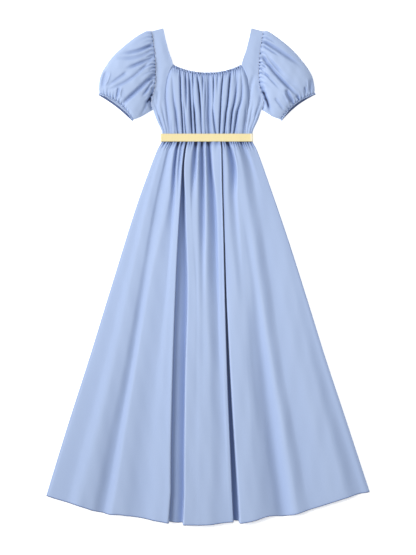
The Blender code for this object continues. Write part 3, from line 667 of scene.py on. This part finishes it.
def makeBodiceBack():
    shares = np.linspace(-1, 1, 61)
    rows = []
    for v in np.linspace(0, 1, 60):
        halfWidth, down = bodiceEdges(bodiceBack["lower"], shares, v)
        rows.append(gridPoints(shares * (halfWidth - gown["seamGap"]), down, ribbonLift(down)))
    piece = clothGrid("bodiceBack", rows)
    dress(piece, ["bodice_back"])


makeBodiceBack()
print("bodice centre made")

# Straps and bodice sides.
sideFront = {
    "gathers": (0.32, 0.70),  # soft gathers above the waist, as shares from the inner to the outer edge
    "swell": 1.5,
    "seamRoll": 1.1,  # how far the edges turn down into a seam
    "lowerRoll": 1.3,  # and how much further near the waist
    "cut": (0.041, 0.31),
    # soft folds: x, down, endX, endDown, bend, width, depth
    "leftFolds": (
        (138.8, 174, 140.7, 226, 0, 4.5, 2),
        (150, 196, 134, 250, -3, 5, 1.8),
        (132, 245, 122.5, 283, 0, 4.5, 2.2),
    ),
    "rightFolds": (
        (130, 135, 112, 235, 3, 6, 2.6),
        (150, 190, 134, 250, -3, 4.5, 1.8),
        (128, 245, 119, 284, 0, 4, 1.8),
    ),
}


def makeSideFront(word, side, folds):
    last = len(bodice["sections"]) - 1
    share = np.linspace(0, 1, 44) ** 1.15
    rows, paintedShade = [], []
    for row in np.linspace(0, last, 150):
        innerX, innerDown, outerX, outerDown = sideSection(row)
        x = innerX + share * (outerX - innerX)
        down = upToWaist(innerDown + share * (outerDown - innerDown))
        strap = eased(innerDown / 60.0)
        low = eased((innerDown - 190.0) / 70.0)
        waves = sum(np.exp(-(((share - place) / 0.09) ** 2)) for place in sideFront["gathers"])
        height = strap * (bodice["seamHeight"] + sideFront["swell"] * np.sin(math.pi * share) ** 2)
        height = height + low * (0.6 - 2.2 * waves)
        height = height * (1 - low * eased(share * 5 - 4))
        edge = np.minimum(x - innerX, outerX - x)
        inside = eased(edge / 4.0)
        height = height - inside * strap * foldDepth(folds, x, down)
        seam = eased((innerDown - 100.0) / 12.0)
        deeper = eased((innerDown - 130.0) / 130.0)
        roll = sideFront["seamRoll"] + sideFront["lowerRoll"] * deeper
        height = height - roll * seam * np.exp(-((x - innerX) / (1.6 + 2.6 * deeper)) ** 2)
        height = height + 0.35 * inside * strap * softNoise(x, down, 42, 2.0 + side)
        # painted shade along the princess seam and between the soft folds
        paintedSeamLine = bodice["seamShade"] * seam * np.exp(-((x - innerX) / 1.3) ** 2)
        paintedShade.append(np.maximum(0.9 * skyHidden(x, height, 30.0) * inside, paintedSeamLine))
        height = pressed(np.maximum(height, 0), down)
        rows.append(gridPoints(side * x, down, gown["frontRest"] + ribbonLift(down) + height))
    piece = clothGrid("sideFront" + word, rows, paintedShade, side < 0)
    dress(piece, ["side_front_" + word.lower()])


sideBack = {
    "inset": 1.5,  # beside the neck its inner edge hides under the strap
    "cut": (0.042, 0.31),
}


def makeSideBack(word, side):
    last = len(bodice["sections"]) - 1
    share = np.linspace(0, 1, 16)
    rows = []
    for row in np.linspace(0, last, 90):
        innerX, innerDown, outerX, outerDown = sideSection(row)
        innerX += sideBack["inset"] * eased(bodice["neckRow"] + 0.5 - row)
        x = innerX + share * (outerX - gown["seamGap"] - innerX)
        down = upToWaist(innerDown + share * (outerDown - innerDown))
        rows.append(gridPoints(side * x, down, ribbonLift(down)))
    piece = clothGrid("sideBack" + word, rows, turned=side < 0)
    dress(piece, ["side_back_" + word.lower()])


for word, side in (("Left", -1), ("Right", 1)):
    makeSideFront(word, side, sideFront[word.lower() + "Folds"])
    makeSideBack(word, side)
print("bodice sides made")

# Drawstring casing along the neckline.
casing = {
    "halfWidth": 95.2,
    "flare": 0.5,  # its ends follow the seam outwards
    "thick": 2.6,
    "lift": 1.6,  # above where the front rests
    "fold": 0.7,  # the strip's own thickness
    "ruche": 1.2,  # ripple of its top edge and face
    "seam": 0.8,  # share of its width where the stitches run
    "columns": 320,
    "sewing": {"pitch": 2.6, "stitch": 1.8, "thread": 0.5},
    "cut": (0.21, 0.0135),
}


def makeCasing():
    share = np.linspace(-1, 1, casing["columns"])
    top = share * casing["halfWidth"]
    ripple = np.sin(top * 0.85 + 0.9 * np.sin(top * 0.31)) * 0.7 + 0.3 * np.sin(top * 2.1)
    rows, paintedShade = [], []
    # painted shade between the ripples of the casing
    tone = 1.6 * skyHidden(top, casing["ruche"] * ripple, 9.0)
    for around in np.linspace(-1, 1, 19):  # from the back's lower edge over the top to the front's
        fold = abs(around)
        across = eased((fold - 0.12) / 0.88) * 0.3 + 0.7 * fold
        rise = math.copysign(1.0, around) * math.sin(math.pi / 2 * min(fold / 0.2, 1.0))
        x = top + share * across * bodice["casingWidth"] * casing["flare"]
        down = neckDown(share) + across * bodice["casingWidth"]
        down = down - (1 - across) * casing["ruche"] * (ripple + 0.3)
        full = math.sin(math.pi * min(across + 0.1, 1.0)) * 0.5
        height = gown["frontRest"] + casing["lift"] + rise * (casing["thick"] - casing["fold"]) / 2
        height = height + max(rise, 0) * (full + casing["ruche"] * ripple * (0.5 + full)) + 0.25 * ripple
        paintedShade.append(tone)
        rows.append(gridPoints(x, down, height))
    piece = clothGrid("neckCasing", rows, paintedShade, outwards=-1.0, thickness=casing["fold"])
    seam = gridPoints(x, neckDown(share) + bodice["casingWidth"] * casing["seam"],
                      gown["frontRest"] + casing["lift"] + casing["thick"] / 2 + 0.35 + 0.45 * ripple)
    stitches = stitchRow("casingStitches", seam[4:-4], casing["sewing"], blueThread)
    dress(piece, ["neck_casing"], sewnOn=[stitches])


makeCasing()
print("neck casing made")

# Puff sleeves.
sleeve = {
    "upperFold": {  # down, x
        -1: (
            (8.4, 155.4), (7.4, 168), (13.5, 182), (21.6, 196), (38.4, 219.2), (55.2, 239),
            (72, 258), (88.8, 272.4), (105.6, 284), (122.4, 294.4), (139, 300.3), (156, 303),
            (170, 303.8), (181.5, 302.3),
        ),
        1: (
            (8.4, 155.4), (7.6, 167), (13.5, 178), (21.6, 190), (38.4, 212.4), (55.2, 232),
            (72, 249), (88.8, 263), (105.6, 276.6), (122.4, 287.6), (139, 295), (156, 298.8),
            (169, 300.5), (180, 300.3),
        ),
    },
    "underarmFold": {
        -1: ((228.0, 151.5), (240.0, 171.0), (248.5, 186.0), (255.5, 206.0)),
        1: ((228.0, 151.5), (240.0, 170.0), (248.5, 184.0), (255.0, 203.5)),
    },
    "cuffSag": {-1: 12.5, 1: 9.5},
    "armhole": 225.0,  # length of the seam over the top
    "cuff": 125.0,  # and of the seam at the cuff
    "depth": 150.0,  # about, from the one to the other
    "armholeGap": 0.5,
    "foldGain": 1.1,
    "gatherReach": 1.35,
    "cuffReach": 0.85,
    "seamShade": 0.75,  # painted shade along the gathered seam, which lies deep between the sleeve and the strap
    "armpitShade": 0.11,  # painted shade in the armpit, for each millimetre of a crease there
    "edge": 4.4,
    "stations": (0.0, 0.06, 0.14, 0.25, 0.38, 0.52, 0.65, 0.77, 0.87, 0.95, 1.0),
    "crown": (6.0, 11.5, 15.5, 17.8, 19.2, 19.8, 19.4, 18.2, 16.0, 12.3, 8.8),
    "cut": (0.36, 0.20),
}
cuff = {
    "columns": (180, 60),  # over the front and under the back
    "width": 6.0,
    "reveal": {-1: 8.2, 1: 2.8},  # the back of the cuff lies this much further out
    "height": 11.0,
    "ruche": 1.0,
    "scallop": 1.0,
    "drawnIn": 3.4,  # the elastic draws the middle of the front edge in
    "fold": 0.7,  # the band's own thickness
    "turned": 1.2,  # the inner half lies this much further in
    "insideShade": 0.86,  # painted shade on the inside of the sleeve's back, which shows here
    "cut": (0.26, 0.011),
}
sleeveFolds = {
    # long folds: x, down, endX, endDown, bend, width, depth
    "left": (
        (150, 44, 243, 72, 6, 4.8, 4.4), (152, 62, 262, 81, 12, 5, 2.6),
        (146, 79, 226, 114, 1.5, 4.4, 4.2), (147, 73, 172, 84, 0, 2.2, 1.8),
        (160, 91, 284, 176, 12, 4.6, 2.6), (227, 126, 276, 161, 0, 4.2, 2.4),
        (138, 122, 246, 221, 0.5, 5.2, 5.6), (144, 108, 166, 122, 0, 2.4, 1.8),
        (150, 146, 182, 192, 1, 3.6, 3.6), (151, 168, 170, 210, 3, 3.6, 5.2),
        (159, 196, 155, 232, 0, 3.8, 5), (166, 202, 188, 248, 2, 4.6, 3),
        (284, 124, 295, 174, -2, 4.6, 4.2), (272, 124, 289, 164, 4, 2.8, -1.8),
        (247, 168, 254, 200, 0, 3.8, 3.6), (239, 170, 242, 200, -2, 2.4, -1.4),
    ),
    "right": (
        (154, 35, 262, 107, -2, 5.6, 5), (155, 48, 200, 78, 1, 2.8, 2.4),
        (160, 23, 190, 41, 0, 2.8, 1.6), (152, 75, 256, 192, 6, 4.8, 5.6),
        (172, 96, 268, 184, 4, 9, 2.4), (168, 80, 210, 130, 1, 4, 3),
        (148, 111, 200, 170, 1, 2.8, 2.2), (147, 96, 166, 114, 0, 2.4, 1.8),
        (142, 136, 180, 244, 0, 4.8, 6.5), (156, 204, 155, 232, 0, 3.4, 4.6),
        (190, 198, 216, 234, 0, 4, 2.2), (291, 144, 287, 184, 0, 4.6, 3.6),
        (281, 146, 283, 184, 0, 2.6, -2), (273, 166, 279, 194, 0, 2.8, 3.2),
        (221, 174, 242, 216, 1, 4.8, 4.6), (214, 184, 231, 216, 0, 2.6, -1.6),
        (250, 190, 262, 208, 0, 3.4, 3.2),
    ),
}
sleeveGathers = {
    # short gathers: place along the seam, width in mm, depth in mm, reach from the seam in mm
    "leftArmhole": (
        (0.03, 2.4, 2.2, 12), (0.075, 2.6, 2.6, 18), (0.12, 2.2, 2.2, 12), (0.17, 2.8, 2.8, 20),
        (0.215, 2.2, 2, 12), (0.26, 2.6, 2.6, 18), (0.32, 2.8, 2.4, 14), (0.375, 2.6, 3, 24),
        (0.42, 2.2, 2.4, 14), (0.465, 2.6, 2.8, 20), (0.51, 2.2, 2.2, 12), (0.555, 2.6, 2.8, 22),
        (0.61, 2.6, 2.2, 14), (0.67, 3.2, 2.4, 20), (0.75, 3.5, 2, 22), (0.84, 3.5, 1.6, 20),
    ),
    "rightArmhole": (
        (0.04, 2.4, 2.2, 12), (0.085, 2.4, 2.4, 16), (0.135, 2.6, 2.8, 20), (0.18, 2.2, 2, 12),
        (0.235, 2.6, 2.6, 18), (0.29, 2.6, 2.4, 14), (0.345, 2.6, 2.8, 22), (0.39, 2.2, 2.2, 12),
        (0.43, 2.4, 2.4, 14), (0.485, 2.8, 3, 24), (0.54, 2.4, 2.2, 14), (0.6, 2.6, 2.6, 20),
        (0.66, 3, 2.2, 16), (0.72, 3.2, 2.2, 20), (0.8, 3.5, 1.8, 22), (0.88, 3.5, 1.4, 18),
    ),
    "leftCuff": (
        (0.06, 2.6, 2.6, 12), (0.12, 2.6, 2.8, 16), (0.2, 2.8, 3, 20), (0.275, 2.8, 2.8, 16),
        (0.35, 2.8, 3.2, 22), (0.43, 2.6, 2.6, 14), (0.5, 2.8, 3.2, 22), (0.575, 2.6, 2.6, 14),
        (0.65, 2.8, 3, 20), (0.73, 2.6, 2.6, 14), (0.81, 2.8, 2.8, 16), (0.9, 2.6, 2.2, 12),
    ),
    "rightCuff": (
        (0.09, 2.6, 2.8, 16), (0.16, 2.6, 2.6, 12), (0.235, 2.8, 3, 20), (0.32, 2.8, 2.8, 16),
        (0.4, 2.8, 3.2, 22), (0.475, 2.6, 2.6, 14), (0.55, 2.8, 3.2, 22), (0.63, 2.6, 2.6, 14),
        (0.7, 2.8, 3, 18), (0.78, 2.6, 2.6, 14), (0.86, 2.8, 2.8, 14), (0.94, 2.4, 2.2, 10),
    ),
}


def cuffFrame(side):
    startDown, startX = sleeve["upperFold"][side][-1]
    endDown, endX = sleeve["underarmFold"][side][-1]
    runX, runDown = endX - startX, endDown - startDown
    length = math.hypot(runX, runDown)
    return (startX, startDown), (runX, runDown), (runDown / length, -runX / length)


def cuffLine(side, v, beyond=0.0):
    (startX, startDown), (runX, runDown), (outX, outDown) = cuffFrame(side)
    out = beyond - sleeve["cuffSag"][side] * np.sin(math.pi * v)
    return startX + v * runX + out * outX, startDown + v * runDown + out * outDown


def sleevePlan(side, u, v):
    # place of the sleeve between its four edges
    fold, underFold = sleeve["upperFold"][side], sleeve["underarmFold"][side]
    upper, under = alongEdge(fold, u), alongEdge(underFold, u)
    sections = np.array(bodice["sections"])
    rows = np.arange(len(sections))
    inner = [through(rows, sections[:, c], v * bodice["underarmRow"]) for c in (3, 2)]
    outer = cuffLine(side, v)
    corners = [fold[0], fold[-1], underFold[0], underFold[-1]]
    place = []
    for k in (0, 1):
        a, b, c, d = (corner[1 - k] for corner in corners)
        flat = (1 - u) * ((1 - v) * a + v * c) + u * ((1 - v) * b + v * d)
        place.append((1 - v) * upper[k] + v * under[k] + (1 - u) * inner[k] + u * outer[k] - flat)
    return place[0] + sleeve["armholeGap"] * (1 - u), place[1]


def shortGathers(gathers, v, seamLength, away, longer):
    depth = 0.0
    for place, width, deep, reach in gathers:
        reach = reach * longer
        wide = width * (0.75 + away / reach * 0.8)
        deep = deep * math.exp(-(away / reach) ** 1.5)
        depth = depth + deep * np.exp(-((v - place) * seamLength / wide) ** 2)
    return depth


def makeSleeve(word, side):
    folds = sleeveFolds[word.lower()]
    atArmhole, atCuff = sleeveGathers[word.lower() + "Armhole"], sleeveGathers[word.lower() + "Cuff"]
    turn = np.linspace(0, 1, 201)
    over = 0.75 * turn + 0.25 * (1 - np.cos(math.pi * turn)) / 2
    underTurn = 1 - np.arange(1, 40) / 40
    below = 0.5 * underTurn + 0.5 * (1 - np.cos(math.pi * underTurn)) / 2
    _, _, (outX, outDown) = cuffFrame(side)
    rings, paintedShade = [], []
    for u in spread((0, 22), (0.14, 44), (0.82, 26)):
        x, down = sleevePlan(side, u, over)
        dome = np.where((over > 0) & (over < 1), np.sin(math.pi * over), 0.0) ** 0.4
        armpit = eased((0.16 - u) / 0.16)
        low = 1 - armpit * eased((over - 0.80) / 0.12) * 0.75
        crown = through(sleeve["stations"], sleeve["crown"], u)
        pull = 0.35 + 0.65 * eased((1 - u) / 0.12) * eased((u + 0.04) / 0.12)
        along, toCuff = u * sleeve["depth"], (1 - u) * sleeve["depth"]
        gathers = shortGathers(atArmhole, over, sleeve["armhole"], along, sleeve["gatherReach"])
        gathers = gathers + shortGathers(atCuff, over, sleeve["cuff"], toCuff, sleeve["cuffReach"])
        creases = foldDepth(folds, x, down)
        relief = -dome * (sleeve["foldGain"] * pull * creases + gathers)
        height = low * crown * dome + relief
        girth = sleeve["armhole"] + (sleeve["cuff"] - sleeve["armhole"]) * u
        # painted shade in the folds and gathers, in the armpit crease and along the gathered armhole seam
        tone = skyHidden(over * girth, relief, 24.0)
        knots = 0.6 + 0.4 * np.sin(over * 190 + 1.4 * np.sin(over * 41 + side))
        seam = sleeve["seamShade"] * knots * math.exp(-((along / 2.4) ** 2))
        crease = eased((over - 0.6) / 0.15) * eased((0.42 - u) / 0.2) * creases
        tone = tone + sleeve["armpitShade"] * np.maximum(crease, 0.0)
        tone = tone * 1.15 + seam * eased((0.9 - over) / 0.3)
        paintedShade.append(np.concatenate([tone, np.zeros(len(below))]))
        noise = softNoise(x, down, 48, 5.0 + side)
        height = height + 0.9 * eased(u / 0.2) * eased((1 - u) / 0.2) * dome * noise
        ends = dome * (0.8 + 1.0 * eased((0.1 - min(u, 1 - u)) / 0.1))
        top = gridPoints(side * x, down, sleeve["edge"] / 2 + np.maximum(height + ends, 1.2 * dome))
        x, down = sleevePlan(side, u, below)
        reveal = cuff["reveal"][side] * eased((u - 0.6) / 0.4) * np.sin(math.pi * below)
        x = x + reveal * outX + sleeve["armholeGap"] * (1 - u)
        rings.append(np.concatenate([top, gridPoints(side * x, down + reveal * outDown, 0.0)]))
    piece = clothGrid("sleeve" + word, rings, paintedShade, side > 0, True, -1.0)
    dress(piece, ["sleeve_" + word.lower()])


def makeCuff(word, side):
    rings, paintedShade = [], []
    overCount, underCount = cuff["columns"]
    over = np.linspace(0, 1, overCount + 1)
    arch = np.sin(math.pi * over)
    ruche = np.sin(over * 128 + 1.2 * np.sin(over * 37 + side)) * 0.7 + 0.3 * np.sin(over * 211)
    below = 1 - np.arange(1, underCount) / underCount
    for step in np.linspace(0, 1.9, 18):  # out from the sleeve, and turned back inside
        share = step if step <= 1 else 2 - step
        inside = eased((step - 0.93) / 0.14) * cuff["turned"]
        distance = gown["seamGap"] + share * (cuff["width"] - gown["seamGap"])
        puff = math.sin(math.pi * share) ** 0.7
        drawn = cuff["drawnIn"] * share * arch
        x, down = cuffLine(side, over, distance - drawn + cuff["scallop"] * ruche * share)
        height = sleeve["edge"] / 2 + (cuff["height"] - sleeve["edge"] / 2) * np.sqrt(np.maximum(arch, 0))
        height = height + arch * (cuff["ruche"] * ruche * (0.4 + 0.6 * puff) + 0.8 * (puff - 0.6) - inside)
        top = gridPoints(side * (x - inside * 0.7 * (1 - arch) * np.sign(0.5 - over)), down, height)
        x, down = cuffLine(side, below, distance + cuff["reveal"][side] * np.sin(math.pi * below))
        rings.append(np.concatenate([top, gridPoints(side * x, down, inside * np.ones_like(below))]))
        # painted shade between the ruches, and dark on the inside strip of the back
        tone = 1.2 * skyHidden(over * sleeve["cuff"], cuff["ruche"] * ruche, 8.0)
        paintedShade.append(np.concatenate([tone, np.full(len(below), cuff["insideShade"])]))
    piece = clothGrid("cuff" + word, rings, paintedShade, side > 0, True, -1.0, cuff["fold"])
    dress(piece, ["cuff_" + word.lower()])


for word, side in (("Left", -1), ("Right", 1)):
    makeSleeve(word, side)
    makeCuff(word, side)
print("sleeves and cuffs made")


# Ribbon belt.
def makeBelt():
    top, radius = belt["frontHeight"], belt["bend"]
    left, right = belt["ends"][0] + radius, belt["ends"][1] - radius
    x, z = [], []
    for side, bend in ((1, right), (-1, left)):
        for k in range(17):
            angle = math.pi / 2 * (k / 8 - 1)
            height = top / 2 * (1 + math.sin(angle))
            x.append(bend + side * radius * math.cos(angle))
            z.append(height if side > 0 else top - height)
        flat = bend - side * (right - left) * np.arange(1, 90) / 90
        x += list(flat)
        z += [top if side > 0 else 0.0] * len(flat)
    x, z = np.array(x), np.array(z)
    onTop = eased((z - top * 0.9) / (top * 0.1)) * eased(np.minimum(right - x, x - left) / 8.0)
    rows = []
    for share in np.linspace(0, 1, 15):
        down = belt["top"] + share * belt["width"]
        wave = softNoise(x, np.full_like(x, down), 60, 3.0) * 0.25
        cup = 0.18 * (2 * share - 1) ** 2
        rows.append(gridPoints(x, down, z + onTop * (wave + 0.1 - cup)))
    piece = clothGrid("beltRibbon", rows, None, True, True, -1.0, belt["ribbon"], yellowRibbon)
    dress(piece, ["belt"], sewnOn=[makeLap()])


def makeLap():
    across = np.linspace(*belt["lap"], 13)
    turn = np.maximum(across - belt["ends"][1] + belt["bend"], 0.0) / belt["bend"]
    lower = belt["bend"] * (1 - np.sqrt(1 - turn ** 2))  # it follows the turn of the belt
    rows = []
    for share in np.linspace(0, 1, 15):
        curl = 0.25 * np.exp(-((across - across[0]) / 1.2) ** 2)
        height = belt["frontHeight"] + belt["lapLift"] + curl - lower
        rows.append(gridPoints(across, belt["top"] + share * belt["width"], height))
    # the paler ribbon colour is a painted highlight
    piece = clothGrid("beltLap", rows, thickness=belt["ribbon"], material=paintedHighlightRibbon)
    dress(piece, ["belt_lap"])
    return piece


makeBelt()
print("belt made")

# Floor, light and camera.
stage = {
    "floor": (0.985, 0.985, 0.985, 1.0),
    "floorSize": 40.0,
    "floorGap": 0.0006,  # between the floor and the gown
    "floorRoughness": 0.9,
    "viewCentre": (0.00196, -0.00176),
    "viewHeight": 1.554,  # metres from the top to the bottom of the picture
    "cameraHeight": 6.0,
    "sensor": 36.0,
    "world": ((0.98, 0.99, 1.0, 1.0), 0.26),
    "floorGlow": 0.5,  # the table is lit from below, so it stays white under a shadow
    "lights": {  # even light from far away: where from, width in degrees, strength
        "overhead": ((0.1, 0.25, 1.0), 70.0, 0.10),
        "key": ((-0.80, 0.22, 0.56), 34.0, 2.25),
    },
    # place, aim, size and power; it hangs above the belt, so the hem and sleeves get less of its light
    "panel": ((0.0, 0.38, 1.5), (0.0, 0.32, 0.0), 0.9, 7.4),
}


def aimedLight(name, kind, power, place, aim):
    data = bpy.data.lights.new(name, kind)
    data.energy = power
    light = addObject(name, data, place)
    light.rotation_euler = (Vector(aim) - Vector(place)).to_track_quat("-Z", "Y").to_euler()
    return data


def makeStage():
    bpy.ops.mesh.primitive_plane_add(size=stage["floorSize"], location=(0, 0, -stage["floorGap"]))
    floor = bpy.context.active_object
    floor.name = "floor"
    material = bpy.data.materials.new("paleFloor")
    material.use_nodes = True
    shader = material.node_tree.nodes["Principled BSDF"]
    shader.inputs["Base Color"].default_value = stage["floor"]
    shader.inputs["Roughness"].default_value = stage["floorRoughness"]
    shader.inputs["Emission Color"].default_value = (1.0, 1.0, 1.0, 1.0)
    shader.inputs["Emission Strength"].default_value = stage["floorGlow"]
    floor.data.materials.append(material)
    world = bpy.data.worlds.new("studio")
    world.use_nodes = True
    sky = world.node_tree.nodes["Background"]
    sky.inputs["Color"].default_value, sky.inputs["Strength"].default_value = stage["world"]
    bpy.context.scene.world = world
    for name, (way, width, strength) in stage["lights"].items():
        aimedLight(name, "SUN", strength, Vector(way) * 3.0, (0, 0, 0)).angle = math.radians(width)
    place, aim, size, power = stage["panel"]
    aimedLight("panel", "AREA", power, place, aim).size = size
    bpy.context.scene.view_settings.view_transform = "Standard"

    data = bpy.data.cameras.new("camera")
    data.lens = stage["sensor"] * stage["cameraHeight"] / stage["viewHeight"]
    bpy.context.scene.camera = addObject("camera", data, (*stage["viewCentre"], stage["cameraHeight"]))


makeStage()
print("stage made")
